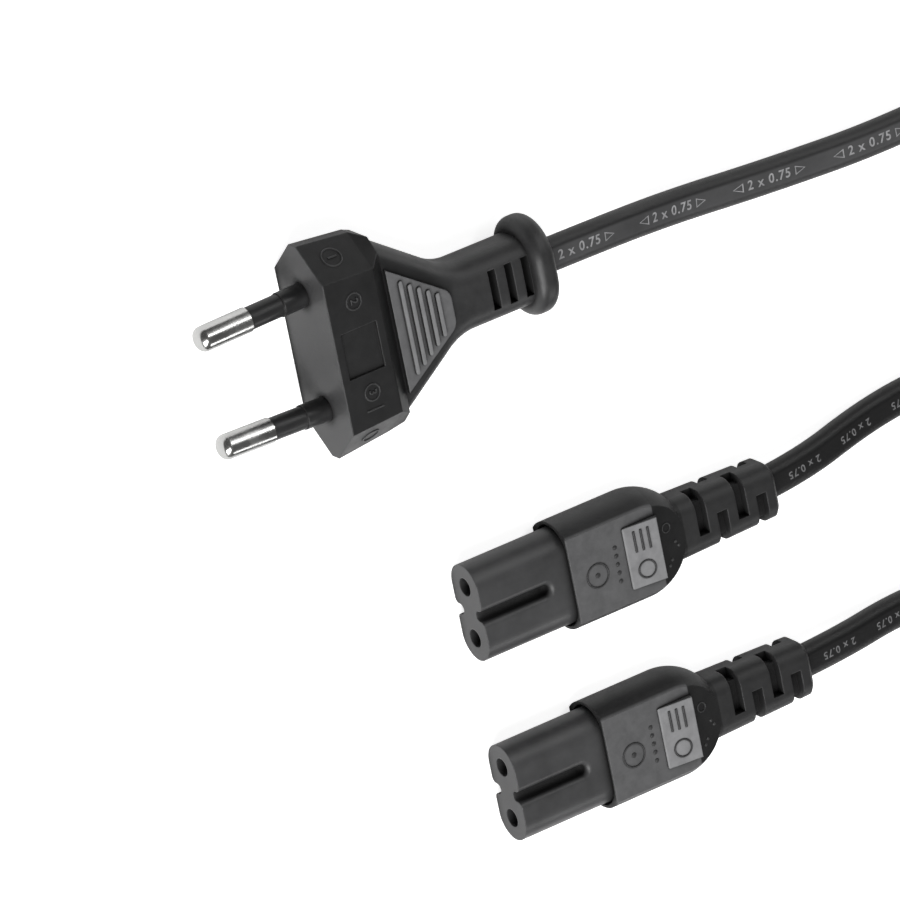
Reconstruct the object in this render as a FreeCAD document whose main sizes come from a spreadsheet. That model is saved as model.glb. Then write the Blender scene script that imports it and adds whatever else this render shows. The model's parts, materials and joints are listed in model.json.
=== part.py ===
"""Power lead: a flat two-pin plug, a moulded splitter and two figure eight connectors.

Millimetres. X runs across the connectors, Y from their noses towards the cords, Z up from the floor.
"""
import math
import os
from types import SimpleNamespace

import FreeCAD
import Part
import Sketcher
from FreeCAD import Placement, Rotation, Vector

DIMENSIONS = {
    # layout on the floor
    "connector_x": 14.4,
    "connector_cord_y": 35.25,
    "connector_pitch": 30.4,
    "plug_x": -36.4,
    "plug_cord_y": 2.45,
    # flat cord
    "cord_width": 5.6,
    "cord_thickness": 3.4,
    "core_radius": 1.1,
    "splice_core_radius": 0.75,
    "core_pitch": 2.6,
    "cord_depth": 11.0,
    # connector nose
    "contact_pitch": 8.6,
    "lobe_radius": 3.7,
    "waist_thickness": 3.5,
    "nose_length": 16.1,
    "groove_length": 11.6,
    "carrier_seat": 5.0,
    "entry_radius": 1.5,
    "entry_depth": 2.5,
    # connector contacts
    "contact_radius": 1.9,
    "contact_bore_radius": 1.25,
    "contact_bore_depth": 12.0,
    "contact_slit": 0.5,
    "crimp_radius": 1.4,
    "crimp_length": 3.5,
    # connector grip
    "grip_width": 17.8,
    "grip_thickness": 9.2,
    "grip_straight": 12.0,
    "grip_tail": 9.0,
    "grip_plateau": 13.9,
    "mouth_gap": 0.45,
    "mouth_depth": 1.0,
    "tail_drop": 0.6,
    "pad_start": 9.9,
    "pad_length": 5.9,
    "pad_width": 10.2,
    "pad_step": 0.3,
    "pad_rise": 1.1,
    # connector strain relief
    "boot_length": 18.0,
    "boot_width_front": 10.2,
    "boot_width_rear": 9.2,
    "boot_height_front": 8.0,
    "boot_height_rear": 7.6,
    "boot_round": 2.6,
    "boot_slot_width": 1.9,
    "boot_slot_pitch": 3.7,
    "boot_slot_start": 2.8,
    "boot_wall": 0.6,
    # plug block
    "plug_width": 34.6,
    "plug_thickness": 13.7,
    "plug_flat": 24.4,
    "plug_side": 2.0,
    "plug_taper": 1.0,
    "block_length": 9.2,
    "block_back": 2.2,
    "panel_width": 7.4,
    "panel_length": 6.4,
    "panel_depth": 0.3,
    # plug grip and neck
    "waist_angle": 36.0,
    "waist_radius": 8.0,
    "waist_inset": 0.3,
    "neck_width": 11.2,
    "neck_height": 9.2,
    "neck_round": 3.4,
    "neck_length": 25.2,
    "thumb_gap": 0.4,
    "thumb_length": 10.2,
    "thumb_width": 20.0,
    "thumb_tip": 5.6,
    "thumb_height": 10.4,
    "rib_start": 1.6,
    "rib_pitch": 1.45,
    "rib_width": 0.7,
    "rib_height": 0.35,
    "rib_margin": 1.6,
    "neck_slot_space": 1.4,
    "neck_slot_pitch": 3.0,
    "neck_slot_width": 1.3,
    "neck_slot_length": 6.4,
    "neck_slot_depth": 2.2,
    "flange_width": 16.0,
    "flange_height": 13.0,
    "flange_length": 4.0,
    "flange_round": 1.6,
    # plug pins
    "pin_pitch": 18.6,
    "pin_lean": 1.65,
    "pin_radius": 2.0,
    "pin_length": 19.0,
    "pin_neck_radius": 1.45,
    "sleeve_length": 10.0,
    "sleeve_radius": 1.8,
    "collar_length": 4.2,
    "collar_radius": 1.95,
    "bridge_start": 1.5,
    "bridge_length": 5.0,
    "bridge_wall": 1.0,
    "bridge_width": 26.0,
    "bridge_height": 8.0,
    "pin_head_radius": 2.4,
    "pin_crimp_length": 2.5,
    # splitter
    "splitter_x": 0.0,
    "splitter_y": 192.0,
    "splitter_length": 34.0,
    "splitter_width": 21.0,
    "splitter_height": 13.0,
    "splitter_tail": 10.0,
    "splitter_round": 2.0,
    "branch_pitch": 10.0,
    "splice_radius": 2.3,
    "splice_pitch": 5.0,
    "splice_length": 7.0,
    "splice_reach": 9.5,
    # coil of the main cord and its ties
    "coil_x": 4.3,
    "coil_y": 140.0,
    "coil_middle_radius": 30.0,
    "coil_ring_width": 18.0,
    "coil_height": 7.0,
    "tie_width": 8.0,
    "tie_thickness": 0.6,
}

# Slots in each connector's strain relief and in the plug's neck, and ribs on the plug's thumb rests.
BOOT_SLOTS = 4
NECK_SLOTS = 3
THUMB_RIBS = 5

# Cord routes as corner points (x, y, z). Each corner is rounded by a tangent arc.
MAIN_ROUTE = [
    (-36.4, 2.45, 6.85),
    (-36.4, 20.8, 6.85),
    (-34.2, 40.0, 2.6),
    (-32.4, 58.0, 1.8),
    (-31.2, 82.0, 1.8),
    (-33.4, 112.0, 2.0),
    (-31.7, 140.0, 2.4),
]
TAIL_ROUTE = [
    (-31.7, 140.0, 5.9),
    (-33.8, 152.0, 5.9),
    (-38.5, 165.0, 6.1),
    (-37.0, 177.0, 6.3),
    (-30.0, 187.0, 6.5),
    (-20.0, 192.0, 6.5),
    (-9.5, 192.0, 6.5),
]
BRANCH_A_ROUTE = [
    (14.4, 35.25, 4.6),
    (14.4, 50.5, 4.6),
    (10.8, 69.5, 2.0),
    (10.2, 84.5, 1.8),
    (20.5, 98.5, 1.8),
    (36.0, 108.5, 1.8),
    (46.5, 124.0, 1.8),
    (49.3, 146.0, 1.8),
    (46.5, 167.0, 3.0),
    (38.0, 181.5, 5.2),
    (23.0, 187.0, 6.5),
    (9.5, 187.0, 6.5),
]
BRANCH_B_ROUTE = [
    (44.8, 35.25, 4.6),
    (44.8, 50.5, 4.6),
    (43.6, 70.5, 1.8),
    (46.5, 90.0, 1.8),
    (52.5, 108.0, 1.8),
    (56.0, 129.0, 1.8),
    (56.3, 151.0, 1.8),
    (53.0, 172.0, 2.8),
    (43.0, 190.0, 5.0),
    (26.0, 197.0, 6.5),
    (9.5, 197.0, 6.5),
]
ARC_SHARE = 0.45

doc = FreeCAD.newDocument("power_lead")
nodes = []


class Size:
    """A number together with the spreadsheet formula that gives it."""

    def __init__(self, text, value):
        self.text = text
        self.value = float(value)

    def __add__(self, other):
        other = as_size(other)
        return Size(f"({self.text} + {other.text})", self.value + other.value)

    def __sub__(self, other):
        other = as_size(other)
        return Size(f"({self.text} - {other.text})", self.value - other.value)

    def __mul__(self, other):
        other = as_size(other)
        return Size(f"({self.text} * {other.text})", self.value * other.value)

    def __truediv__(self, other):
        other = as_size(other)
        return Size(f"({self.text} / {other.text})", self.value / other.value)

    def __neg__(self):
        return Size(f"(0 - {self.text})", -self.value)

    def __rsub__(self, other):
        return as_size(other) - self

    __radd__ = __add__
    __rmul__ = __mul__


def as_size(number):
    return number if isinstance(number, Size) else Size(repr(float(number)), number)


def root(number):
    return Size(f"sqrt({number.text})", math.sqrt(number.value))


def sine(degrees):
    return Size(f"sin({degrees.text})", math.sin(math.radians(degrees.value)))


def cosine(degrees):
    return Size(f"cos({degrees.text})", math.cos(math.radians(degrees.value)))


def make_sheet():
    """Writes the driving dimensions to a spreadsheet and returns them as sizes by name."""
    sheet = doc.addObject("Spreadsheet::Sheet", "Sizes")
    for row, (alias, value) in enumerate(DIMENSIONS.items(), start=1):
        sheet.set(f"A{row}", alias)
        sheet.set(f"B{row}", str(value))
        sheet.setAlias(f"B{row}", alias)
    doc.recompute()
    return SimpleNamespace(**{alias: Size(f"Sizes.{alias}", value) for alias, value in DIMENSIONS.items()})


dim = make_sheet()


# Small helpers around the document's objects
def bind(item, path, number):
    item.setExpression(path, as_size(number).text)


def place(item, x, y, z, rotation=None):
    """Places an object, with its position bound to the sheet."""
    x, y, z = as_size(x), as_size(y), as_size(z)
    item.Placement = Placement(Vector(x.value, y.value, z.value), rotation or Rotation())
    for axis, number in (("x", x), ("y", y), ("z", z)):
        bind(item, f".Placement.Base.{axis}", number)
    return item


def add_node(item, label):
    """Marks an object as one of the part's pieces, under the name of its file."""
    item.Label = label
    nodes.append(item)
    return item


def make_body(name):
    return doc.addObject("PartDesign::Body", name)


def make_sketch(body, name, plane, shift=0):
    """An empty sketch on one of the body's own planes, moved along +Y for XZ_Plane and +Z for XY_Plane."""
    sketch = body.newObject("Sketcher::SketchObject", name)
    support = next(item for item in body.Origin.OriginFeatures if item.Role == plane)
    sketch.AttachmentSupport = (support, [""])
    sketch.MapMode = "FlatFace"
    shift = as_size(shift) if plane == "XY_Plane" else -as_size(shift)
    sketch.AttachmentOffset = Placement(Vector(0, 0, shift.value), Rotation())
    bind(sketch, ".AttachmentOffset.Base.z", shift)
    return sketch


def line_to(x, y):
    return as_size(x), as_size(y), None, False


def arc_to(x, y, radius, left_turn):
    """An arc of under half a turn that ends at (x, y)."""
    return as_size(x), as_size(y), as_size(radius), left_turn


def arc_geometry(start, end, radius, left_turn):
    chord = end - start
    half = chord.Length / 2
    height = math.sqrt(max(radius * radius - half * half, 0.0))
    side = Vector(-chord.y, chord.x, 0).normalize() * (height if left_turn else -height)
    centre = (start + end) / 2 + side
    first, last = (start, end) if left_turn else (end, start)
    angles = [math.atan2(point.y - centre.y, point.x - centre.x) for point in (first, last)]
    return Part.ArcOfCircle(Part.Circle(centre, Vector(0, 0, 1), radius), angles[0], angles[1])


def outline(sketch, corners):
    """A closed outline whose corners and arc radii are all bound to the sheet."""
    points = [Vector(corner[0].value, corner[1].value, 0) for corner in corners]
    ends = []
    for index, (x, y, radius, left_turn) in enumerate(corners):
        start, end = points[index - 1], points[index]
        if radius is None:
            edge = sketch.addGeometry(Part.LineSegment(start, end))
            ends.append((edge, 1, 2))
        else:
            edge = sketch.addGeometry(arc_geometry(start, end, radius.value, left_turn))
            ends.append((edge, 1, 2) if left_turn else (edge, 2, 1))
    for index, (edge, _, last) in enumerate(ends):
        following, first, _ = ends[(index + 1) % len(ends)]
        sketch.addConstraint(Sketcher.Constraint("Coincident", edge, last, following, first))
    for (edge, _, last), (x, y, radius, _) in zip(ends, corners):
        pin_down(sketch, "DistanceX", x, edge, last)
        pin_down(sketch, "DistanceY", y, edge, last)
        if radius is not None:
            number = sketch.addConstraint(Sketcher.Constraint("Radius", edge, radius.value))
            bind(sketch, f"Constraints[{number}]", radius)
    return sketch


def pin_down(sketch, kind, number, edge, end):
    """Holds one end of an edge at a signed distance from the sketch's origin."""
    constraint = Sketcher.Constraint(kind, -1, 1, edge, end, number.value)
    bind(sketch, f"Constraints[{sketch.addConstraint(constraint)}]", number)


def pad(body, sketch, length, midplane=False):
    """Pads an XZ sketch towards +Y, and an XY sketch towards +Z or to both sides."""
    feature = body.newObject("PartDesign::Pad", f"Pad_{sketch.Name}")
    feature.Profile = sketch
    feature.Length = as_size(length).value
    bind(feature, "Length", length)
    feature.Midplane = midplane
    feature.Reversed = not midplane and "XZ_Plane" in sketch.AttachmentSupport[0][0].Name
    sketch.Visibility = False
    doc.recompute()
    return feature


def pocket(body, sketch, length):
    """Cuts an XZ sketch towards +Y."""
    feature = body.newObject("PartDesign::Pocket", f"Pocket_{sketch.Name}")
    feature.Profile = sketch
    feature.Length = as_size(length).value
    bind(feature, "Length", length)
    sketch.Visibility = False
    doc.recompute()
    return feature


def loft(body, first, second):
    feature = body.newObject("PartDesign::AdditiveLoft", f"Loft_{first.Name}")
    feature.Profile = first
    feature.Sections = [second]
    feature.Ruled = True
    doc.recompute()
    return feature


def fillet(body, radius, chosen):
    """Rounds those edges of the body's tip for which chosen(edge) is true."""
    tip = body.Tip
    names = [f"Edge{number}" for number, edge in enumerate(tip.Shape.Edges, start=1) if chosen(edge)]
    feature = body.newObject("PartDesign::Fillet", f"Round_{tip.Name}")
    feature.Base = (tip, names)
    feature.Radius = as_size(radius).value
    bind(feature, "Radius", radius)
    doc.recompute()
    return feature


def cylinder(name, radius, length, x, y, z, lean=0):
    """A cylinder along +Y, turned about Z by lean degrees."""
    item = doc.addObject("Part::Cylinder", name)
    item.Radius = as_size(radius).value
    item.Height = as_size(length).value
    bind(item, "Radius", radius)
    bind(item, "Height", length)
    return place(item, x, y, z, Rotation(Vector(0, 0, 1), lean) * Rotation(Vector(1, 0, 0), -90))


def box(name, width, length, height, x, y, z):
    """A box with its middle at x, its front at y and its underside at z."""
    item = doc.addObject("Part::Box", name)
    for path, number in (("Length", width), ("Width", length), ("Height", height)):
        setattr(item, path, as_size(number).value)
        bind(item, path, number)
    return place(item, as_size(x) - as_size(width) / 2, y, z)


def fuse(name, shapes):
    item = doc.addObject("Part::MultiFuse", name)
    item.Shapes = shapes
    doc.recompute()
    return item


def cut(name, base, tool):
    item = doc.addObject("Part::Cut", name)
    item.Base = base
    item.Tool = tool
    doc.recompute()
    return item


# Cords and cores
def route_wire(route):
    """A wire of straight runs and tangent arcs through the corner points, and the arcs' radii."""
    points = [Vector(*point) for point in route]
    edges, radii = [], []
    start = points[0]
    for before, corner, after in zip(points, points[1:], points[2:]):
        back, ahead = (before - corner), (after - corner)
        trim = ARC_SHARE * min(back.Length, ahead.Length)
        back.normalize()
        ahead.normalize()
        half_turn = (math.pi - back.getAngle(ahead)) / 2
        radius = trim / math.tan(half_turn)
        first, last = corner + back * trim, corner + ahead * trim
        inward = (back + ahead).normalize()
        middle = corner + inward * (radius / math.cos(half_turn) - radius)
        edges.append(Part.LineSegment(start, first).toShape())
        edges.append(Part.Arc(first, middle, last).toShape())
        radii.append(radius)
        start = last
    edges.append(Part.LineSegment(start, points[-1]).toShape())
    return Part.Wire(edges), radii


def flat_section(point, direction):
    """The cord's round-edged flat section, across the given direction and level."""
    across = Vector(0, 0, 1).cross(direction).normalize()
    up = direction.cross(across).normalize()
    half = (dim.cord_width.value - dim.cord_thickness.value) / 2
    radius = dim.cord_thickness.value / 2
    corner = lambda side, height: point + across * (side * half) + up * (height * radius)
    bulge = lambda side: point + across * (side * (half + radius))
    edges = [
        Part.LineSegment(corner(-1, -1), corner(1, -1)).toShape(),
        Part.Arc(corner(1, -1), bulge(1), corner(1, 1)).toShape(),
        Part.LineSegment(corner(1, 1), corner(-1, 1)).toShape(),
        Part.Arc(corner(-1, 1), bulge(-1), corner(-1, -1)).toShape(),
    ]
    return Part.Wire(edges)


def make_cord(label, route):
    wire, radii = route_wire(route)
    direction = Vector(*route[1]) - Vector(*route[0])
    shell = Part.BRepOffsetAPI.MakePipeShell(wire)
    shell.setBiNormalMode(Vector(0, 0, 1))
    shell.add(flat_section(Vector(*route[0]), direction.normalize()))
    shell.build()
    shell.makeSolid()
    item = doc.addObject("Part::Feature", label)
    item.Shape = shell.shape()
    radius = dim.cord_thickness.value / 2
    section = math.pi * radius ** 2 + 2 * radius * (dim.cord_width.value - 2 * radius)
    print(label, "length", round(wire.Length, 1), "smallest radius", round(min(radii), 1),
          "volume share", round(item.Shape.Volume / (section * wire.Length), 4))
    return add_node(item, label)


def make_core(label, route, radius=dim.core_radius):
    """A round insulated core through sizes (x, y, z)."""
    points = [tuple(as_size(number).value for number in point) for point in route]
    wire = route_wire(points)[0]
    ring = Part.Circle(Vector(*points[0]), Vector(*points[1]) - Vector(*points[0]), radius.value)
    item = doc.addObject("Part::Feature", label)
    item.Shape = wire.makePipeShell([Part.Wire([ring.toShape()])], True, False)
    return add_node(item, label)


# Figure eight connector
def make_carrier(tag, x, y, z):
    """The hard nose that holds the contacts, with the two lobes of a figure eight at its front."""
    half = dim.contact_pitch / 2
    radius = dim.lobe_radius
    body = make_body(f"carrier_form_{tag}")
    stadium = outline(make_sketch(body, f"stadium_{tag}", "XZ_Plane"), [
        line_to(half, -radius),
        arc_to(half + radius, 0, radius, True),
        arc_to(half, radius, radius, True),
        line_to(-half, radius),
        arc_to(-half - radius, 0, radius, True),
        arc_to(-half, -radius, radius, True),
    ])
    pad(body, stadium, dim.nose_length + dim.carrier_seat)
    waist = dim.waist_thickness / 2
    bend = (radius - waist) * 0.45
    edge = bend * 2
    for side, word in ((1, "top"), (-1, "bottom")):
        upwards = side > 0
        groove = outline(make_sketch(body, f"groove_{word}_{tag}", "XZ_Plane"), [
            line_to(edge, radius * side * 1.2),
            line_to(edge, radius * side),
            arc_to(bend, (radius - bend) * side, bend, upwards),
            line_to(bend, (waist + bend) * side),
            arc_to(0, waist * side, bend, not upwards),
            arc_to(-bend, (waist + bend) * side, bend, not upwards),
            line_to(-bend, (radius - bend) * side),
            arc_to(-edge, radius * side, bend, upwards),
            line_to(-edge, radius * side * 1.2),
        ])
        pocket(body, groove, dim.groove_length)
        round_end(body, f"groove_end_{word}_{tag}", [
            line_to(0, radius * side * 1.2),
            line_to(0, waist * side),
            arc_to(bend, (waist + bend) * side, bend, upwards),
            line_to(bend, (radius - bend) * side),
            arc_to(edge, radius * side, bend, not upwards),
            line_to(edge, radius * side * 1.2),
        ])
    place(body, x, y, z)
    return body


def round_end(body, name, half_section):
    """Rounds the inner end of a groove by turning half of its section about the upright axis."""
    sketch = outline(make_sketch(body, name, "XZ_Plane", dim.groove_length), half_section)
    feature = body.newObject("PartDesign::Groove", f"Turn_{name}")
    feature.Profile = sketch
    feature.ReferenceAxis = (sketch, ["V_Axis"])
    feature.Angle = 360.0
    sketch.Visibility = False
    doc.recompute()
    return feature


def make_contact(tag, side, x, y, z):
    """A slit socket of rolled brass with a crimped shank behind it."""
    length = dim.nose_length + dim.carrier_seat - dim.entry_depth
    name = f"{side}_{tag}"
    barrel = cylinder(f"barrel_{name}", dim.contact_radius, length, x, y + dim.entry_depth, z)
    shank = cylinder(f"shank_{name}", dim.crimp_radius, dim.crimp_length, x,
                     y + dim.nose_length + dim.carrier_seat, z)
    bore = cylinder(f"bore_{name}", dim.contact_bore_radius, dim.contact_bore_depth,
                    x, y + dim.entry_depth, z)
    slit = box(f"slit_{name}", dim.contact_slit, dim.contact_bore_depth, dim.contact_radius * 2,
               x, y + dim.entry_depth, z)
    solid = fuse(f"contact_solid_{name}", [barrel, shank])
    hollow = fuse(f"contact_hollow_{name}", [bore, slit])
    return add_node(cut(f"contact_{name}", solid, hollow), f"contact_{name}")


def make_grip_form(tag, x, y, z):
    """The soft moulding around the carrier's tail, with thumb pad and strain relief but no slots."""
    front = dim.nose_length
    tail_end = front + dim.grip_straight + dim.grip_tail
    half_width = dim.grip_width / 2
    boot_half = dim.boot_width_front / 2
    turn = tail_end - root(half_width * half_width - boot_half * boot_half)
    flat = dim.grip_plateau / 2
    high = dim.grip_thickness / 2
    bulge = half_width - flat
    radius = (high * high + bulge * bulge) / (2 * bulge)
    bar = make_body(f"grip_bar_{tag}")
    section = outline(make_sketch(bar, f"grip_section_{tag}", "XZ_Plane", front), [
        line_to(flat, -high),
        arc_to(flat, high, radius, True),
        line_to(-flat, high),
        arc_to(-flat, -high, radius, True),
    ])
    pad(bar, section, turn - front)
    tail = make_body(f"grip_tail_{tag}")
    revolve(tail, outline(make_sketch(tail, f"tail_section_{tag}", "XZ_Plane", turn), [
        line_to(0, -high),
        line_to(flat, -high),
        arc_to(flat, high, radius, True),
        line_to(0, high),
    ]))
    slopes = tail_slopes(tag, front, tail_end)
    thumb_pad = make_thumb_pad(tag, front)
    boot = make_boot(tag, tail_end)
    for item in [bar, tail, thumb_pad, boot] + slopes:
        place(item, x, y, z)
    block = fuse(f"grip_block_{tag}", [bar, tail])
    sloped = cut(f"grip_sloped_{tag}", block, fuse(f"grip_slopes_{tag}", slopes))
    return fuse(f"grip_form_{tag}", [sloped, thumb_pad, boot])


def make_mouth(tag, x, y, z):
    """The narrow gap between the nose and the front rim of the grip."""
    body = make_body(f"grip_mouth_{tag}")
    width = dim.contact_pitch + dim.lobe_radius * 2 + dim.mouth_gap * 2
    height = dim.lobe_radius * 2 + dim.mouth_gap * 2
    sketch = make_sketch(body, f"mouth_{tag}", "XZ_Plane", dim.nose_length - dim.mouth_gap)
    pad(body, round_outline(sketch, width, height), dim.mouth_depth + dim.mouth_gap)
    place(body, x, y, z)
    return body


def tail_slopes(tag, front, tail_end):
    """What is taken off above and below, where the grip falls away towards the strain relief."""
    ridge = front + dim.pad_start + dim.pad_length
    high = dim.grip_thickness / 2
    beyond = tail_end + dim.grip_tail / 3
    drop = dim.tail_drop * ((beyond - ridge) / (tail_end - ridge))
    tools = []
    for side, word in ((1, "top"), (-1, "bottom")):
        body = make_body(f"tail_slope_{word}_{tag}")
        sketch = outline(make_sketch(body, f"tail_side_{word}_{tag}", "YZ_Plane"), [
            line_to(ridge, high * side),
            line_to(beyond, (high - drop) * side),
            line_to(beyond, high * side * 1.5),
            line_to(ridge, high * side * 1.5),
        ])
        pad(body, sketch, dim.grip_width * 1.2, midplane=True)
        tools.append(body)
    return tools


def make_thumb_pad(tag, front):
    """The wedge behind the grip's flat top that the thumb pushes against."""
    body = make_body(f"thumb_pad_{tag}")
    sketch = make_sketch(body, f"pad_side_{tag}", "YZ_Plane")
    start = front + dim.pad_start
    ridge = start + dim.pad_length
    high = dim.grip_thickness / 2
    low = high - dim.tail_drop * 2
    outline(sketch, [
        line_to(start, low),
        line_to(start, high + dim.pad_step),
        line_to(ridge, high + dim.pad_rise),
        line_to(ridge + dim.pad_rise, low),
    ])
    pad(body, sketch, dim.pad_width, midplane=True)

    def is_pad_front(edge):
        top = high.value + dim.pad_step.value
        middle = edge.CenterOfMass
        upright = edge.BoundBox.ZLength > 0.1 and abs(middle.y - start.value) < 0.01
        return upright or abs(middle.z - top) < 0.01 and edge.BoundBox.YLength < 0.01

    fillet(body, dim.pad_step * 0.8, is_pad_front)
    return body


def make_boot(tag, tail_end):
    """The tapering strain relief behind the grip, with a small bevel at its end."""
    body = make_body(f"boot_{tag}")
    wall = dim.boot_wall
    end = tail_end + dim.boot_length
    sections = []
    for word, along, width, height, corner in (
        ("front", tail_end - dim.grip_tail / 3, dim.boot_width_front, dim.boot_height_front, dim.boot_round),
        ("rear", end - wall, dim.boot_width_rear, dim.boot_height_rear, dim.boot_round),
        ("end", end, dim.boot_width_rear - wall * 2, dim.boot_height_rear - wall * 2, dim.boot_round - wall),
    ):
        sketch = make_sketch(body, f"boot_{word}_{tag}", "XZ_Plane", along)
        sections.append(rounded_box(sketch, width, height, corner))
    loft(body, sections[0], sections[1])
    loft(body, sections[1], sections[2])
    return body


def rounded_box(sketch, width, height, radius):
    """A rectangle with round corners."""
    across = width / 2
    high = height / 2
    return outline(sketch, [
        line_to(across - radius, -high),
        arc_to(across, radius - high, radius, True),
        line_to(across, high - radius),
        arc_to(across - radius, high, radius, True),
        line_to(radius - across, high),
        arc_to(-across, high - radius, radius, True),
        line_to(-across, radius - high),
        arc_to(radius - across, -high, radius, True),
    ])


def round_outline(sketch, width, height):
    """A flat oval: level top and bottom joined by half circles."""
    radius = height / 2
    half = width / 2 - radius
    return outline(sketch, [
        line_to(half, -radius),
        arc_to(half + radius, 0, radius, True),
        arc_to(half, radius, radius, True),
        line_to(-half, radius),
        arc_to(-half - radius, 0, radius, True),
        arc_to(-half, -radius, radius, True),
    ])


def boot_slots(tag, x, y, z):
    """Staggered slots that open to the sides by turns, and run over and under the cord past the middle."""
    reach = dim.boot_width_front
    above = dim.cord_thickness / 2 + dim.boot_wall
    beside = dim.cord_width / 2 + dim.boot_wall
    boot_start = y + dim.nose_length + dim.grip_straight + dim.grip_tail
    open_side = dim.boot_wall / 2
    tools = []
    for number in range(BOOT_SLOTS):
        along = boot_start + dim.boot_slot_start + number * dim.boot_slot_pitch
        side = -1 if number % 2 == 0 else 1
        past = dim.boot_width_front * (0.17 if side < 0 else 0.08)
        for turn, word, over, wall in (
            (side, "over", z + above, z + open_side),
            (-side, "under", z - above - reach, z - open_side - reach),
        ):
            tools.append(box(f"slot_{word}_{number}_{tag}", reach, dim.boot_slot_width, reach,
                             x + turn * (reach / 2 - past), along, over))
            tools.append(box(f"notch_{word}_{number}_{tag}", reach, dim.boot_slot_width, reach,
                             x + turn * (beside + reach / 2), along, wall))
    return tools


def make_connector(tag, x, route):
    """One figure eight connector with its nose at the layout line and its cord behind it."""
    total = dim.nose_length + dim.grip_straight + dim.grip_tail + dim.boot_length
    y = dim.connector_cord_y + dim.cord_depth - total
    z = dim.grip_thickness / 2
    carrier_form = make_carrier(tag, x, y, z)
    length = dim.nose_length + dim.carrier_seat
    hollows, inner = [], [carrier_form]
    for word, sign in (("left", -1), ("right", 1)):
        across = x + dim.contact_pitch * (sign / 2)
        hollows.append(cylinder(f"entry_{word}_{tag}", dim.entry_radius, dim.entry_depth, across, y, z))
        hollows.append(cylinder(f"cavity_{word}_{tag}", dim.contact_radius, length - dim.entry_depth,
                                across, y + dim.entry_depth, z))
        inner.append(make_contact(tag, word, across, y, z))
        cord_end = dim.connector_cord_y
        at_cord = x + dim.core_pitch * (sign / 2)
        start = y + length + dim.crimp_length
        inner.append(make_core(f"core_{word}_{tag}", [
            (across, start, z),
            (across, start + dim.crimp_length, z),
            (at_cord, cord_end - dim.crimp_length, z),
            (at_cord, cord_end, z),
        ]))
    carrier = cut(f"nose_carrier_{tag}", carrier_form, fuse(f"carrier_hollows_{tag}", hollows))
    add_node(carrier, f"nose_carrier_{tag}")
    inner.append(make_cord(f"branch_cord_{tag}", route))
    form = make_grip_form(tag, x, y, z)
    inner.append(make_mouth(tag, x, y, z))
    grip = cut(f"grip_{tag}", form, fuse(f"grip_hollows_{tag}", inner + boot_slots(tag, x, y, z)))
    add_node(grip, f"grip_{tag}")


# Two-pin plug
def octagon(sketch, width, flat, side, thickness):
    return outline(sketch, [
        line_to(flat / 2, -thickness / 2),
        line_to(width / 2, -side / 2),
        line_to(width / 2, side / 2),
        line_to(flat / 2, thickness / 2),
        line_to(-flat / 2, thickness / 2),
        line_to(-width / 2, side / 2),
        line_to(-width / 2, -side / 2),
        line_to(-flat / 2, -thickness / 2),
    ])


def make_plug_form(x, y, z):
    """The plug's outer form: bevelled block, waisted grip, thumb rests, neck and end flange."""
    forms = [make_block(), make_neck(), *make_thumb_rests(), make_flange()]
    for item in forms:
        place(item, x, y, z)
    return fuse("plug_form", forms)


def make_block():
    """The bevelled block that the pins stand in, with slopes at its back."""
    body = make_body("plug_block")
    width = dim.plug_width - dim.plug_taper * 2
    flat = dim.plug_flat - dim.plug_taper
    thickness = dim.plug_thickness - dim.plug_taper / 2
    end = dim.block_length + dim.block_back
    corner = dim.neck_round * 1.2
    behind = width - dim.plug_taper * 2.4
    front = octagon(make_sketch(body, "block_front", "XZ_Plane"), dim.plug_width, dim.plug_flat,
                    dim.plug_side, dim.plug_thickness)
    rear = octagon(make_sketch(body, "block_rear", "XZ_Plane", dim.block_length), width, flat,
                   dim.plug_side, thickness)
    back = octagon(make_sketch(body, "block_back", "XZ_Plane", end), behind, behind - corner,
                   dim.neck_height - corner, dim.neck_height + dim.waist_inset)
    loft(body, front, rear)
    loft(body, rear, back)
    return body


def make_neck():
    """The waist that slants in from the block and bends into the straight neck."""
    body = make_body("plug_neck")
    block_end = dim.block_length + dim.block_back
    neck_end = block_end + dim.neck_length
    neck = dim.neck_width / 2
    wide = dim.plug_width / 2 - dim.plug_taper * 2.2 - dim.waist_inset
    bend_x = neck + dim.waist_radius * (1 - cosine(dim.waist_angle))
    start = block_end - dim.thumb_gap
    bend_y = start + (wide - bend_x) * cosine(dim.waist_angle) / sine(dim.waist_angle)
    waist_end = bend_y + dim.waist_radius * sine(dim.waist_angle)
    plan = outline(make_sketch(body, "neck_plan", "XY_Plane"), [
        line_to(-wide, start),
        line_to(wide, start),
        line_to(bend_x, bend_y),
        arc_to(neck, waist_end, dim.waist_radius, False),
        line_to(neck, neck_end + 0.5),
        line_to(-neck, neck_end + 0.5),
        line_to(-neck, waist_end),
        arc_to(-bend_x, bend_y, dim.waist_radius, False),
    ])
    pad(body, plan, dim.neck_height, midplane=True)

    def is_neck_side(edge):
        return edge.BoundBox.ZLength < 0.01 and edge.BoundBox.YLength > 0.1

    fillet(body, dim.neck_round, is_neck_side)
    return body


def make_flange():
    """The round-edged flange at the end of the neck."""
    body = make_body("plug_flange")
    near = dim.block_length + dim.block_back + dim.neck_length
    sketch = make_sketch(body, "flange", "XZ_Plane", near)
    pad(body, round_outline(sketch, dim.flange_width, dim.flange_height), dim.flange_length)
    fillet(body, dim.flange_round, lambda edge: edge.BoundBox.YLength < 0.01)
    return body


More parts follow.
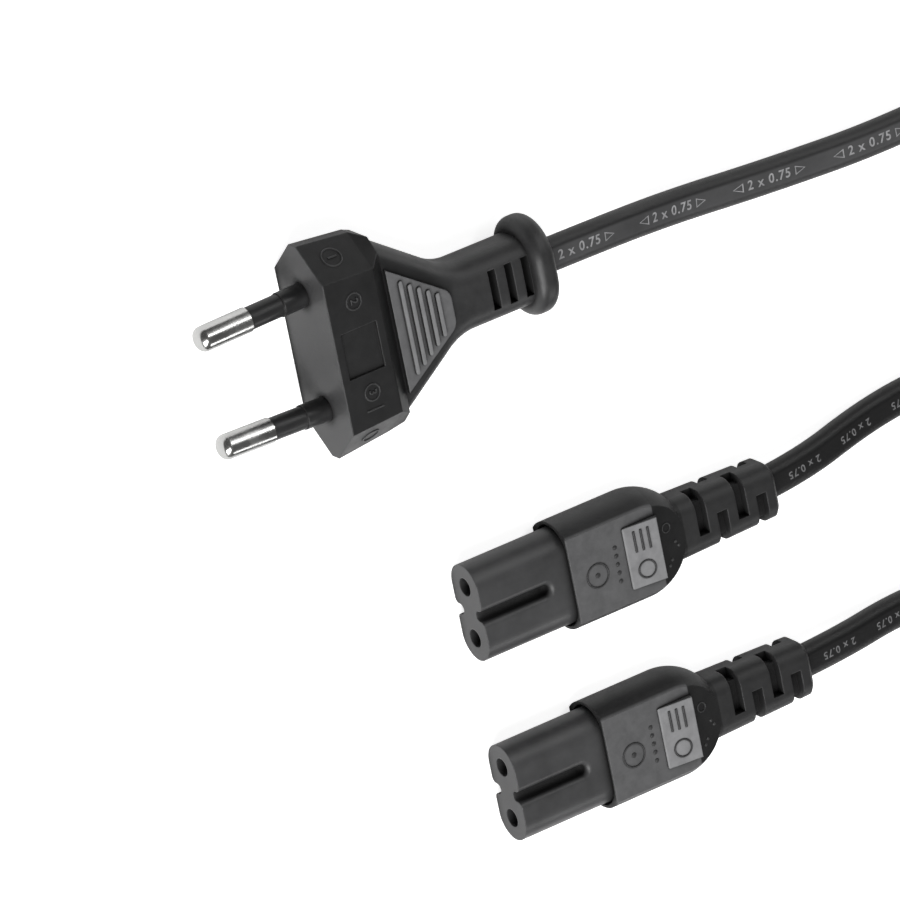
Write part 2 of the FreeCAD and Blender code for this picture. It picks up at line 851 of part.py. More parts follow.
def make_thumb_rests():
    """Raised triangles above and below the waist, each with ribs that get shorter towards the neck."""
    body = make_body("thumb_rest")
    base = dim.thumb_width / 2
    tip = dim.thumb_tip / 2
    start = dim.block_length + dim.block_back + dim.thumb_gap
    end = start + dim.thumb_length
    rest = outline(make_sketch(body, "thumb_plan", "XY_Plane"), [
        line_to(-base, start),
        line_to(base, start),
        line_to(tip, end),
        line_to(-tip, end),
    ])
    pad(body, rest, dim.thumb_height, midplane=True)

    def is_upright(edge):
        at_the_end = abs(edge.CenterOfMass.y - end.value) < 0.01
        return at_the_end and edge.BoundBox.ZLength > 0.2 and edge.BoundBox.XLength < 0.01

    fillet(body, dim.thumb_tip * 0.4, is_upright)
    rests = [body]
    round_off = dim.rib_width / 2
    for number in range(THUMB_RIBS):
        rib = make_body(f"thumb_rib_{number}")
        along = dim.rib_start + number * dim.rib_pitch
        reach = base - (base - tip) * (along / dim.thumb_length) - dim.rib_margin
        sketch = outline(make_sketch(rib, f"rib_plan_{number}", "XY_Plane"), [
            line_to(reach, start + along),
            arc_to(reach + round_off, start + along + round_off, round_off, True),
            arc_to(reach, start + along + dim.rib_width, round_off, True),
            line_to(-reach, start + along + dim.rib_width),
            arc_to(-reach - round_off, start + along + round_off, round_off, True),
            arc_to(-reach, start + along, round_off, True),
        ])
        pad(rib, sketch, dim.thumb_height + dim.rib_height * 2, midplane=True)
        rests.append(rib)
    return rests


def plug_cuts(x, y, z):
    """Slots across the neck and a shallow panel in the block, above and below."""
    tools = []
    for sign, word in ((1, "top"), (-1, "bottom")):
        for number in range(NECK_SLOTS):
            before_end = dim.neck_slot_space + (NECK_SLOTS - 1 - number) * dim.neck_slot_pitch
            along = y + dim.block_length + dim.block_back + dim.neck_length - before_end
            level = z + (dim.neck_height / 2 - dim.neck_slot_depth) if sign > 0 else z - dim.neck_height / 2
            tools.append(box(f"neck_slot_{word}_{number}", dim.neck_slot_length, dim.neck_slot_width,
                             dim.neck_slot_depth, x, along, level))
        top = dim.plug_thickness / 2
        level = z + (top - dim.panel_depth - dim.plug_taper / 4) if sign > 0 else z - top
        tools.append(box(f"panel_{word}", dim.panel_width, dim.panel_length,
                         dim.panel_depth + dim.plug_taper / 4,
                         x, y + (dim.block_length - dim.panel_length) / 2, level))
    return tools


def make_pin(word, sign, x, y, z):
    """A turned pin with a domed tip, its sleeve, and the head and crimp that sit in the moulding."""
    body = make_body(f"pin_{word}")
    radius = dim.pin_radius
    tip = -dim.pin_length
    head_start = dim.bridge_start + dim.bridge_wall
    head_end = dim.bridge_start + dim.bridge_length - dim.bridge_wall
    crimp_end = dim.bridge_start + dim.bridge_length + dim.pin_crimp_length
    profile = outline(make_sketch(body, f"pin_profile_{word}", "XY_Plane"), [
        line_to(0, tip),
        line_to(radius * 0.35, tip),
        arc_to(radius, tip + radius * 0.65, radius * 0.65, True),
        line_to(radius, -dim.sleeve_length),
        line_to(dim.pin_neck_radius, -dim.sleeve_length),
        line_to(dim.pin_neck_radius, head_start),
        line_to(dim.pin_head_radius, head_start),
        line_to(dim.pin_head_radius, head_end),
        line_to(dim.pin_neck_radius, head_end),
        line_to(dim.pin_neck_radius, crimp_end),
        line_to(0, crimp_end),
    ])
    revolve(body, profile)
    across = x + dim.pin_pitch * (sign / 2)
    lean_inwards(body, across, y, z, sign)
    add_node(body, f"pin_{word}")

    sleeve = make_body(f"pin_sleeve_{word}")
    ring = outline(make_sketch(sleeve, f"sleeve_profile_{word}", "XY_Plane"), [
        line_to(dim.pin_neck_radius, -dim.sleeve_length),
        line_to(dim.sleeve_radius, -dim.sleeve_length),
        line_to(dim.sleeve_radius, -dim.collar_length),
        line_to(dim.collar_radius, -dim.collar_length),
        line_to(dim.collar_radius, head_start),
        line_to(dim.pin_neck_radius, head_start),
    ])
    revolve(sleeve, ring)
    lean_inwards(sleeve, across, y, z, sign)
    add_node(sleeve, f"pin_sleeve_{word}")
    return body, sleeve, across


def revolve(body, sketch):
    feature = body.newObject("PartDesign::Revolution", f"Turn_{sketch.Name}")
    feature.Profile = sketch
    feature.ReferenceAxis = (sketch, ["V_Axis"])
    feature.Angle = 360.0
    sketch.Visibility = False
    doc.recompute()
    return feature


def lean_inwards(body, x, y, z, sign):
    """Places a pin's body so that its tip leans towards the other pin."""
    place(body, x, y, z, Rotation(Vector(0, 0, -sign), dim.pin_lean.value))
    bind(body, ".Placement.Rotation.Angle", dim.pin_lean)


def make_plug(route):
    total = dim.block_length + dim.block_back + dim.neck_length + dim.flange_length
    x, y = dim.plug_x, dim.plug_cord_y + dim.cord_depth - total
    z = dim.plug_thickness / 2
    inner, pins = [], []
    crimp_end = dim.bridge_start + dim.bridge_length + dim.pin_crimp_length
    cord_end = dim.plug_cord_y
    for word, sign in (("left", -1), ("right", 1)):
        pin, sleeve, across = make_pin(word, sign, x, y, z)
        pins += [pin, sleeve]
        at_crimp = across + crimp_end * (math.tan(math.radians(dim.pin_lean.value)) * sign)
        at_cord = x + dim.core_pitch * (sign / 2)
        core = make_core(f"plug_core_{word}", [
            (at_crimp, y + crimp_end, z),
            (at_crimp, y + crimp_end + dim.pin_crimp_length / 2, z),
            (at_cord, cord_end - dim.pin_crimp_length, z),
            (at_cord, cord_end, z),
        ])
        inner += [pin, sleeve, core]
    slab = box("bridge_slab", dim.bridge_width, dim.bridge_length, dim.bridge_height,
               x, y + dim.bridge_start, z - dim.bridge_height / 2)
    bridge = add_node(cut("pin_bridge", slab, fuse("bridge_hollows", pins)), "pin_bridge")
    inner += [bridge, make_cord("main_cord", route)]
    form = make_plug_form(x, y, z)
    add_node(cut("plug_body", form, fuse("plug_hollows", inner + plug_cuts(x, y, z))), "plug_body")


# Splitter, coil and ties
def make_splitter(cords):
    """The moulded joint where the main cord meets the two branches, lying along X."""
    x, y = dim.splitter_x, dim.splitter_y
    z = dim.splitter_height / 2
    half = dim.splitter_length / 2
    wide = dim.splitter_width / 2
    tail = dim.splitter_tail / 2
    body = make_body("splitter_form")
    plan = outline(make_sketch(body, "splitter_plan", "XY_Plane"), [
        line_to(-half, -tail),
        line_to(-half / 2, -tail),
        line_to(0, -wide),
        line_to(half, -wide),
        line_to(half, wide),
        line_to(0, wide),
        line_to(-half / 2, tail),
        line_to(-half, tail),
    ])
    pad(body, plan, dim.splitter_height, midplane=True)
    fillet(body, dim.splitter_round, lambda edge: edge.BoundBox.ZLength < 0.01)
    place(body, x, y, z)
    inner = list(cords)
    for word, sign in (("live", 1), ("neutral", -1)):
        inner += make_splice(word, x, y, z, sign)
    add_node(cut("splitter_body", body, fuse("splitter_hollows", inner)), "splitter_body")


def make_splice(word, x, y, z, sign):
    """A crimped splice and the three cores that it joins, one from each cord."""
    level = z + dim.splice_pitch * (sign / 2)
    start = x - dim.splice_length / 2
    end = x + dim.splice_length / 2
    splice = doc.addObject("Part::Cylinder", f"splice_{word}")
    splice.Radius = dim.splice_radius.value
    splice.Height = dim.splice_length.value
    bind(splice, "Radius", dim.splice_radius)
    bind(splice, "Height", dim.splice_length)
    place(splice, start, y, level, Rotation(Vector(0, 1, 0), 90))
    add_node(splice, f"splice_{word}")
    cores = []
    for name, side, at_splice, at_cord in (
        ("main", -1, start, x - dim.splice_reach),
        ("a", 1, end, x + dim.splice_reach),
        ("b", 1, end, x + dim.splice_reach),
    ):
        offset = {"main": 0, "a": -1, "b": 1}[name]
        cord_y = y + dim.branch_pitch * (offset / 2) + dim.core_pitch * (sign / 2)
        splice_y = y + dim.core_radius * (offset * 1.02)
        cores.append(make_core(f"splice_core_{word}_{name}", [
            (at_splice, splice_y, level),
            (at_splice + side * dim.core_radius, splice_y, level),
            (at_cord - side * dim.core_radius, cord_y, z),
            (at_cord, cord_y, z),
        ], dim.splice_core_radius))
    return [splice] + cores


def make_coil(cords):
    """The outer shape of the wound main cord, open where the cord runs in and out, and its two ties."""
    half = dim.coil_ring_width / 2
    ring = doc.addObject("Part::Cylinder", "coil_outside")
    hole = doc.addObject("Part::Cylinder", "coil_inside")
    for item, radius in ((ring, dim.coil_middle_radius + half), (hole, dim.coil_middle_radius - half)):
        item.Radius = radius.value
        item.Height = dim.coil_height.value
        bind(item, "Radius", radius)
        bind(item, "Height", dim.coil_height)
        place(item, dim.coil_x, dim.coil_y, dim.tie_thickness + 0.1)
    full_ring = cut("coil_ring", ring, hole)
    add_node(cut("main_coil", full_ring, fuse("coil_ends", cords)), "main_coil")
    for number, sign in enumerate((-1, 1), start=1):
        band = box(f"tie_block_{number}", dim.tie_width, dim.coil_ring_width + dim.tie_thickness * 2,
                   dim.coil_height + dim.tie_thickness * 2, dim.coil_x,
                   dim.coil_y + sign * dim.coil_middle_radius - half - dim.tie_thickness, 0.1)
        add_node(cut(f"coil_tie_{number}", band, full_ring), f"coil_tie_{number}")


def export():
    """Checks every piece and writes it to its own file."""
    doc.recompute()
    os.makedirs("parts", exist_ok=True)
    for item in nodes:
        shape = item.Shape
        state = "Invalid" in item.State or "Touched" in item.State
        if state or shape.isNull() or not shape.isValid() or not shape.Solids:
            raise RuntimeError(f"{item.Label} did not build: {item.State}")
        print(f"{item.Label}: {len(shape.Solids)} solid(s), {shape.Volume:.1f} mm3")
        shape.exportStep(f"parts/{item.Label}.step")


make_plug(MAIN_ROUTE)
make_connector("a", dim.connector_x, BRANCH_A_ROUTE)
make_connector("b", dim.connector_x + dim.connector_pitch, BRANCH_B_ROUTE)
tail_cord = make_cord("main_cord_tail", TAIL_ROUTE)
make_coil([doc.getObject("main_cord"), tail_cord])
make_splitter([tail_cord] + [doc.getObject(f"branch_cord_{tag}") for tag in ("a", "b")])
export()
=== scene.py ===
"""A flat two-core power lead with a two-pin plug, a moulded split and two figure eight connectors."""
import json
import math
from bisect import bisect_left

import bmesh
import bpy
from mathutils import Matrix, Vector
from mathutils.bvhtree import BVHTree


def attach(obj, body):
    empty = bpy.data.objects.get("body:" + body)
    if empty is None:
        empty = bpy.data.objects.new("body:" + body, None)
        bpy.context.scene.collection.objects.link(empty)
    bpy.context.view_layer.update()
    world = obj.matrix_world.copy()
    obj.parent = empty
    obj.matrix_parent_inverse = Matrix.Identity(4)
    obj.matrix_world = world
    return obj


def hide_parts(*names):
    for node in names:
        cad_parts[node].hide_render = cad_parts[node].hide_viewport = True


MM = 0.001
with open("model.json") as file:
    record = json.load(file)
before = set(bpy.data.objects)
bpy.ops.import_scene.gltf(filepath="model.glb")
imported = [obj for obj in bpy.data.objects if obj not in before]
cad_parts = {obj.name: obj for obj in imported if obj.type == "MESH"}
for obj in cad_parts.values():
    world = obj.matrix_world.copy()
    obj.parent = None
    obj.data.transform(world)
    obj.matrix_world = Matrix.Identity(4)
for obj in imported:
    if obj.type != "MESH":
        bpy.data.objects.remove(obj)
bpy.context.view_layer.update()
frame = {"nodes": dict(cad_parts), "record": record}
nodes = frame["nodes"]
scene = bpy.context.scene
scene.view_settings.view_transform = "Standard"

# Camera, at the photograph's viewing angle
VIEW_RIGHT = Vector((0.187, 0.826, 0.532))
VIEW_UP = Vector((-0.911, 0.348, -0.220))
VIEW_CENTRE = Vector((-9.85, -4.10, 0.0)) * MM
VIEW_WIDTH = 136.6 * MM
VIEW_DISTANCE = 1.667
SENSOR = 36.0


def make_camera():
    right = VIEW_RIGHT.normalized()
    back = right.cross(VIEW_UP).normalized()
    up = back.cross(right)
    data = bpy.data.cameras.new("camera")
    data.sensor_width = SENSOR
    data.lens = SENSOR * VIEW_DISTANCE / VIEW_WIDTH
    data.clip_start = 0.05
    data.clip_end = 20
    camera = bpy.data.objects.new("camera", data)
    turn = Matrix((right, up, back)).transposed().to_4x4()
    camera.matrix_world = Matrix.Translation(VIEW_CENTRE + back * VIEW_DISTANCE) @ turn
    scene.collection.objects.link(camera)
    scene.camera = camera


make_camera()


# Materials
class Nodes:
    """A material's node tree, with short calls for the nodes that are used here."""

    def __init__(self, name):
        self.material = bpy.data.materials.new(name)
        self.material.use_nodes = True
        self.tree = self.material.node_tree
        self.shader = self.tree.nodes["Principled BSDF"]

    def add(self, kind, inputs=None, **settings):
        node = self.tree.nodes.new(kind)
        for key, value in settings.items():
            setattr(node, key, value)
        for key, value in (inputs or {}).items():
            self.feed(node.inputs[key], value)
        return node

    def feed(self, socket, value):
        if isinstance(value, bpy.types.NodeSocket):
            self.tree.links.new(value, socket)
        else:
            socket.default_value = value

    def set(self, **values):
        for key, value in values.items():
            self.feed(self.shader.inputs[key.replace("_", " ")], value)

    def place(self):
        return self.add("ShaderNodeTexCoord").outputs["Object"]

    def noise(self, scale, detail=3.0, roughness=0.55, vector=None):
        node = self.add("ShaderNodeTexNoise", {"Scale": scale, "Detail": detail, "Roughness": roughness})
        self.feed(node.inputs["Vector"], vector or self.place())
        return node.outputs["Fac"]

    def spread(self, value, low, high, start=0.3, end=0.7):
        node = self.add("ShaderNodeMapRange", {"Value": value, "From Min": start, "From Max": end,
                                               "To Min": low, "To Max": high})
        return node.outputs["Result"]

    def blend(self, share, first, second):
        node = self.add("ShaderNodeMix", data_type="RGBA")
        for key, value in (("Factor", share), (6, first), (7, second)):
            self.feed(node.inputs[key], value)
        return node.outputs[2]

    def maths(self, operation, first, second):
        return self.add("ShaderNodeMath", {0: first, 1: second}, operation=operation).outputs[0]

    def within(self, value, low, high, soft):
        """One where the value lies between low and high, falling to nothing just outside."""
        rising = self.spread(value, 0.0, 1.0, low - soft, low)
        falling = self.spread(value, 1.0, 0.0, high, high + soft)
        return self.maths("MULTIPLY", rising, falling)

    def zone(self, along, along_soft=0.2, away=None, away_soft=0.2, middle=0.0):
        """One in a stretch along Y and, where away is given, that far from a middle height (millimetres)."""
        place = self.add("ShaderNodeSeparateXYZ", {"Vector": self.place()}).outputs
        inside = self.within(place["Y"], along[0] * MM, along[1] * MM, along_soft * MM)
        if away is None:
            return inside
        distance = self.maths("ABSOLUTE", self.maths("SUBTRACT", place["Z"], middle * MM), 0.0)
        return self.maths("MULTIPLY", inside,
                          self.within(distance, away[0] * MM, away[1] * MM, away_soft * MM))

    def rounded(self, radius):
        """A normal that is rounded over the edges, and how far it leans there."""
        soft = self.add("ShaderNodeBevel", {"Radius": radius}, samples=4).outputs["Normal"]
        true = self.add("ShaderNodeNewGeometry").outputs["Normal"]
        lean = self.add("ShaderNodeVectorMath", {0: soft, 1: true}, operation="DOT_PRODUCT")
        return soft, self.spread(lean.outputs["Value"], 1.0, 0.0, 0.80, 0.97)

    def painted_crease_shade(self, reach):
        """Painted shade: nothing in the open, rising to one in narrow slots and along inside corners, where
        shade falls.
        """
        clear = self.add("ShaderNodeAmbientOcclusion", {"Distance": reach}, samples=8).outputs["AO"]
        return self.spread(clear, 1.0, 0.0, 0.45, 0.92)

    def stretched(self, vector, scale):
        return self.add("ShaderNodeMapping", {"Vector": vector, "Scale": scale}).outputs["Vector"]

    def bump(self, height, strength, distance, normal=None):
        node = self.add("ShaderNodeBump", {"Height": height, "Strength": strength, "Distance": distance})
        if normal:
            self.feed(node.inputs["Normal"], normal)
        return node.outputs["Normal"]


def grey(level):
    return (level, level, level * 1.02, 1.0)


EDGE_RADIUS = 0.3 * MM
# Reach, colour and added roughness of the painted shade in creases, slots and inside corners
PAINTED_SHADE_REACH = 0.9 * MM
PAINTED_SHADE_LEVEL = 0.001
CREASE_DULLING = 0.5


def moulded_plastic(name, level, roughness, grain=0.35, shade_reach=PAINTED_SHADE_REACH, painted_light_zones=()):
    """Black moulded plastic with fine grain, edges lightened as rubbed wear and as painted highlight,
    painted shade in creases and zones of painted light and shade.
    """
    made = Nodes(name)
    fine = made.noise(5200, 2.0, 0.5)
    broad = made.noise(120, 4.0, 0.6)
    rubbed = made.noise(480, 5.0, 0.65)
    soft, edge = made.rounded(EDGE_RADIUS)
    colour = made.blend(made.spread(broad, 0.0, 1.0), grey(level * 0.82), grey(level * 1.22))
    # Painted light and shade: each zone gets its own lighter or darker tone for how light falls on it
    for zone, painted_level in painted_light_zones:
        painted_tone = made.blend(made.spread(rubbed, 0.0, 1.0), grey(painted_level * 0.86), grey(painted_level * 1.14))
        colour = made.blend(made.zone(**zone), colour, painted_tone)
    # Edges lightened where rubbed, partly wear and partly a painted highlight along them
    worn_and_highlit = made.maths("MULTIPLY", edge, made.spread(rubbed, 0.15, 0.85))
    colour = made.blend(worn_and_highlit, colour, grey(level * 2.2 + 0.02))
    # Painted shade: the colour darkens to near black in creases, slots and inside corners, which are also
    # made rougher
    crease_shade = made.painted_crease_shade(shade_reach)
    sheen = made.spread(rubbed, roughness - 0.035, roughness + 0.045)
    made.set(Base_Color=made.blend(crease_shade, colour, grey(PAINTED_SHADE_LEVEL)), Specular_IOR_Level=0.36,
             Roughness=made.maths("ADD", sheen, made.maths("MULTIPLY", crease_shade, CREASE_DULLING)),
             Normal=made.bump(fine, grain, 0.00006, made.bump(rubbed, 0.12, 0.0001, soft)))
    return made.material


def cord_sheath(name, level, roughness):
    """A satin sheath with faint drawn lines along it, and round edges painted darker than its flats as
    painted shade.
    """
    made = Nodes(name)
    along = made.add("ShaderNodeUVMap").outputs["UV"]
    lines = made.noise(6, 3.0, 0.6, made.stretched(along, (0.15, 90.0, 1.0)))
    specks = made.noise(2600, 2.0, 0.5)
    broad = made.noise(90, 4.0, 0.6)
    across = made.add("ShaderNodeSeparateXYZ", {"Vector": along}).outputs["Y"]
    # Painted shade: the two round edges are coloured darker than the flats
    shaded_edges = made.maths("MAXIMUM", *(made.within(across, start + 0.04, start + 0.38, 0.03)
                                    for start in (0.0, 0.5)))
    flats = made.blend(made.spread(broad, 0.0, 1.0), grey(level * 0.8), grey(level * 1.25))
    made.set(Base_Color=made.blend(shaded_edges, flats, grey(level * 0.3)), Specular_IOR_Level=0.4,
             Roughness=made.spread(lines, roughness - 0.06, roughness + 0.08),
             Normal=made.bump(specks, 0.2, 0.00005, made.bump(lines, 0.25, 0.00008)))
    return made.material


def bright_metal(name, colour, roughness):
    """Plated metal with fine scratches and a slightly uneven sheen."""
    made = Nodes(name)
    scratches = made.noise(900, 3.0, 0.6, made.stretched(made.place(), (6.0, 0.6, 6.0)))
    cloud = made.noise(260, 3.0, 0.5)
    dark = tuple(part * 0.86 for part in colour[:3]) + (1.0,)
    made.set(Base_Color=made.blend(made.spread(cloud, 0.0, 1.0), dark, colour), Metallic=1.0,
             Roughness=made.spread(cloud, roughness * 0.75, roughness * 1.5),
             Normal=made.bump(scratches, 0.06, 0.00004))
    return made.material


def coloured_plastic(name, colour, roughness):
    """Insulation or an inner moulding, with a slightly uneven colour."""
    made = Nodes(name)
    broad = made.noise(300, 3.0, 0.55)
    dark = tuple(part * 0.8 for part in colour[:3]) + (1.0,)
    made.set(Base_Color=made.blend(made.spread(broad, 0.0, 1.0), dark, colour),
             Roughness=made.spread(broad, roughness - 0.05, roughness + 0.05),
             Normal=made.bump(made.noise(2400, 2.0), 0.15, 0.00005))
    return made.material


def printed(name, level):
    """Pale ink, a little patchy where it has rubbed off."""
    made = Nodes(name)
    patches = made.noise(900, 4.0, 0.65)
    made.set(Base_Color=made.blend(made.spread(patches, 0.0, 1.0), grey(level * 0.6), grey(level)),
             Roughness=made.spread(patches, 0.5, 0.65),
             Normal=made.bump(made.noise(4200, 2.0), 0.2, 0.00004))
    return made.material


# Zones painted lighter or darker on the plug and on the connectors: painted light and shade for how light
# falls on each face
PLUG_MIDDLE = 6.85
GRIP_MIDDLE = 4.6
PLUG_FACE = {"along": (-30.0, -27.05), "along_soft": 0.1}
PLUG_SLOPE = {"along": (-18.0, -15.7)}
PLUG_NECK = {"along": (-4.0, 20.0), "along_soft": 4.0}
PLUG_RESTS = {"along": (-15.6, -4.0), "away": (4.9, 6.0), "middle": PLUG_MIDDLE}
PLUG_RIBS = {"along": (-15.6, -4.0), "away": (5.4, 6.0), "away_soft": 0.1, "middle": PLUG_MIDDLE}
GRIP_LEVELS = {"along": (7.0, 23.3), "away": (4.5, 8.0), "away_soft": 0.3, "middle": GRIP_MIDDLE}
GRIP_SLOPES = {"along": (23.3, 28.4)}
GRIP_BOOTS = {"along": (28.6, 60.0)}
GRIP_PADS = {"along": (17.0, 23.1), "away": (9.4, 12.0)}

MATERIALS = {
    "soft_black": moulded_plastic("soft_black", 0.03, 0.46),
    # Painted light and shade by zone: the slopes darker, the plateaus, pads, boots, rests, ribs, plug face
    # and neck lighter
    "grip_black": moulded_plastic("grip_black", 0.015, 0.46, shade_reach=1.8 * MM, painted_light_zones=(
        (GRIP_LEVELS, 0.086), (GRIP_SLOPES, 0.008), (GRIP_BOOTS, 0.019), (GRIP_PADS, 0.19))),
    "hard_black": moulded_plastic("hard_black", 0.045, 0.38, grain=0.2, shade_reach=3.0 * MM),
    "sleeve_black": moulded_plastic("sleeve_black", 0.018, 0.36, grain=0.2),
    "plug_black": moulded_plastic("plug_black", 0.012, 0.42, shade_reach=1.8 * MM, painted_light_zones=(
        (PLUG_FACE, 0.048), (PLUG_SLOPE, 0.005), (PLUG_NECK, 0.026),
        (PLUG_RESTS, 0.105), (PLUG_RIBS, 0.18))),
    "cord_sheath": cord_sheath("cord_sheath", 0.055, 0.38),
    "branch_sheath": cord_sheath("branch_sheath", 0.008, 0.38),
    "nickel": bright_metal("nickel", (0.56, 0.56, 0.55, 1.0), 0.22),
    "brass": bright_metal("brass", (0.78, 0.60, 0.28, 1.0), 0.25),
    "tinned": bright_metal("tinned", (0.72, 0.71, 0.68, 1.0), 0.3),
    "bridge_plastic": coloured_plastic("bridge_plastic", (0.09, 0.09, 0.09, 1.0), 0.5),
    "core_brown": coloured_plastic("core_brown", (0.24, 0.11, 0.05, 1.0), 0.45),
    "core_blue": coloured_plastic("core_blue", (0.06, 0.18, 0.5, 1.0), 0.45),
    "tie": moulded_plastic("tie", 0.03, 0.5),
    "ink": printed("ink", 0.32),
    "faded_ink": printed("faded_ink", 0.17),
}


def give(item, material):
    item.data.materials.clear()
    item.data.materials.append(material)


for subpart in frame["record"]["subparts"]:
    give(nodes[subpart["node"]], MATERIALS[subpart["material_slot"]])
give(nodes["plug_body"], MATERIALS["plug_black"])
for side in ("left", "right"):
    give(nodes[f"pin_sleeve_{side}"], MATERIALS["sleeve_black"])
for tag in "ab":
    give(nodes[f"grip_{tag}"], MATERIALS["grip_black"])

# Cords
CORD_WIDTH = 5.6 * MM
CORD_THICKNESS = 3.4 * MM
CORD_WAIST = 0.12 * MM
MAIN_ROUTE = [
    (-36.4, 2.45, 6.85),
    (-36.4, 20.8, 6.85),
    (-34.2, 40.0, 2.6),
    (-32.4, 58.0, 1.8),
    (-31.2, 82.0, 1.8),
    (-33.4, 112.0, 2.0),
    (-31.7, 140.0, 2.4),
]
TAIL_ROUTE = [
    (-31.7, 140.0, 5.9),
    (-33.8, 152.0, 5.9),
    (-38.5, 165.0, 6.1),
    (-37.0, 177.0, 6.3),
    (-30.0, 187.0, 6.5),
    (-20.0, 192.0, 6.5),
    (-9.5, 192.0, 6.5),
]
BRANCH_A_ROUTE = [
    (14.4, 35.25, 4.6),
    (14.4, 50.5, 4.6),
    (10.8, 69.5, 2.0),
    (10.2, 84.5, 1.8),
    (20.5, 98.5, 1.8),
    (36.0, 108.5, 1.8),
    (46.5, 124.0, 1.8),
    (49.3, 146.0, 1.8),
    (46.5, 167.0, 3.0),
    (38.0, 181.5, 5.2),
    (23.0, 187.0, 6.5),
    (9.5, 187.0, 6.5),
]
BRANCH_B_ROUTE = [
    (44.8, 35.25, 4.6),
    (44.8, 50.5, 4.6),
    (43.6, 70.5, 1.8),
    (46.5, 90.0, 1.8),
    (52.5, 108.0, 1.8),
    (56.0, 129.0, 1.8),
    (56.3, 151.0, 1.8),
    (53.0, 172.0, 2.8),
    (43.0, 190.0, 5.0),
    (26.0, 197.0, 6.5),
    (9.5, 197.0, 6.5),
]
COIL_X, COIL_Y = 4.3, 140.0
COIL_OUTER, COIL_INNER = 36.0, 24.0
COIL_LOW, COIL_HIGH = 2.4, 5.9
COIL_STEPS = 16
SPIRAL_TURNS = 2


def coil_turns():
    """Two turns inwards on the floor, one that rises, and two outwards on top, clockwise from above."""
    points = []
    for step in range(1, (2 * SPIRAL_TURNS + 1) * COIL_STEPS):
        turn = step / COIL_STEPS
        inwards = min(turn / SPIRAL_TURNS, 1.0)
        outwards = max((turn - SPIRAL_TURNS - 1) / SPIRAL_TURNS, 0.0)
        rise = min(max(turn - SPIRAL_TURNS, 0.0), 1.0)
        radius = COIL_OUTER + (COIL_INNER - COIL_OUTER) * (inwards - outwards)
        angle = math.pi - 2 * math.pi * turn
        points.append((COIL_X + radius * math.cos(angle), COIL_Y + radius * math.sin(angle),
                       COIL_LOW + (COIL_HIGH - COIL_LOW) * rise))
    return points


def smooth_line(route):
    """The points of a smooth spline with the route as its control points, in metres."""
    curve = bpy.data.curves.new("route", "CURVE")
    curve.dimensions = "3D"
    curve.resolution_u = 12
    spline = curve.splines.new("NURBS")
    spline.points.add(len(route) - 1)
    for point, place in zip(spline.points, route):
        point.co = (*(number * MM for number in place), 1.0)
    spline.order_u = 3
    spline.use_endpoint_u = True
    holder = bpy.data.objects.new("route", curve)
    scene.collection.objects.link(holder)
    bpy.context.view_layer.update()
    mesh = bpy.data.meshes.new_from_object(holder)
    points = [vertex.co.copy() for vertex in mesh.vertices]
    bpy.data.meshes.remove(mesh)
    bpy.data.objects.remove(holder)
    bpy.data.curves.remove(curve)
    return points


def frames_along(points):
    """For each point its distance from the start, and its directions along, sideways and upwards."""
    result = []
    length = 0.0
    for index, point in enumerate(points):
        before = points[max(index - 1, 0)]
        after = points[min(index + 1, len(points) - 1)]
        length += (point - before).length
        along = (after - before).normalized()
        side = along.cross(Vector((0, 0, 1))).normalized()
        result.append((length, point, along, side, side.cross(along)))
    return result


def flat_profile(steps=10):
    """The cord's outline: two round edges, and flat sides that dip slightly between the cores."""
    radius = CORD_THICKNESS / 2
    reach = CORD_WIDTH / 2 - radius
    points = []
    for sign in (1, -1):
        for step in range(steps + 1):
            angle = math.pi / 2 - math.pi * step / steps
            points.append((sign * (reach + radius * math.cos(angle)), sign * radius * math.sin(angle)))
        points.append((0.0, -sign * (radius - CORD_WAIST)))
    return points


def make_cord(name, points, sheath):
    """A closed tube with the flat profile along a smooth line."""
    profile = flat_profile()
    around = len(profile)
    stations = frames_along(points)
    work = bmesh.new()
    rings = [[work.verts.new(point + side * x + up * y) for x, y in profile]
             for _, point, _, side, up in stations]
    layer = work.loops.layers.uv.new("UVMap")
    for index in range(len(rings) - 1):
        for edge in range(around):
            following = (edge + 1) % around
            corners = ((index, edge), (index + 1, edge), (index + 1, following), (index, following))
            face = work.faces.new([rings[ring][spot] for ring, spot in corners])
            face.smooth = True
            for loop, (ring, spot) in zip(face.loops, corners):
                across = spot + around if spot == 0 and edge else spot
                loop[layer].uv = (stations[ring][0] * 100, across / around)
    work.faces.new(rings[0])
    work.faces.new(reversed(rings[-1]))
    bmesh.ops.recalc_face_normals(work, faces=work.faces)
    mesh = bpy.data.meshes.new(name)
    work.to_mesh(mesh)
    work.free()
    item = bpy.data.objects.new(name, mesh)
    scene.collection.objects.link(item)
    give(item, MATERIALS[sheath])
    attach(item, "root")
    return item


def text_shape(words, size, depth=0.0):
    """The points and faces of a line of text, centred on its middle, flat or with a depth."""
    curve = bpy.data.curves.new("print", "FONT")
    curve.body = words
    curve.size = size
    curve.align_x = "CENTER"
    curve.align_y = "CENTER"
    curve.resolution_u = 3
    curve.space_character = 1.15
    curve.offset = size * 0.018
    curve.extrude = depth / 2
    holder = bpy.data.objects.new("print", curve)
    scene.collection.objects.link(holder)
    bpy.context.view_layer.update()
    mesh = bpy.data.meshes.new_from_object(holder)
    points = [vertex.co.copy() for vertex in mesh.vertices]
    faces = [tuple(face.vertices) for face in mesh.polygons]
    bpy.data.meshes.remove(mesh)
    bpy.data.objects.remove(holder)
    bpy.data.curves.remove(curve)
    return points, faces


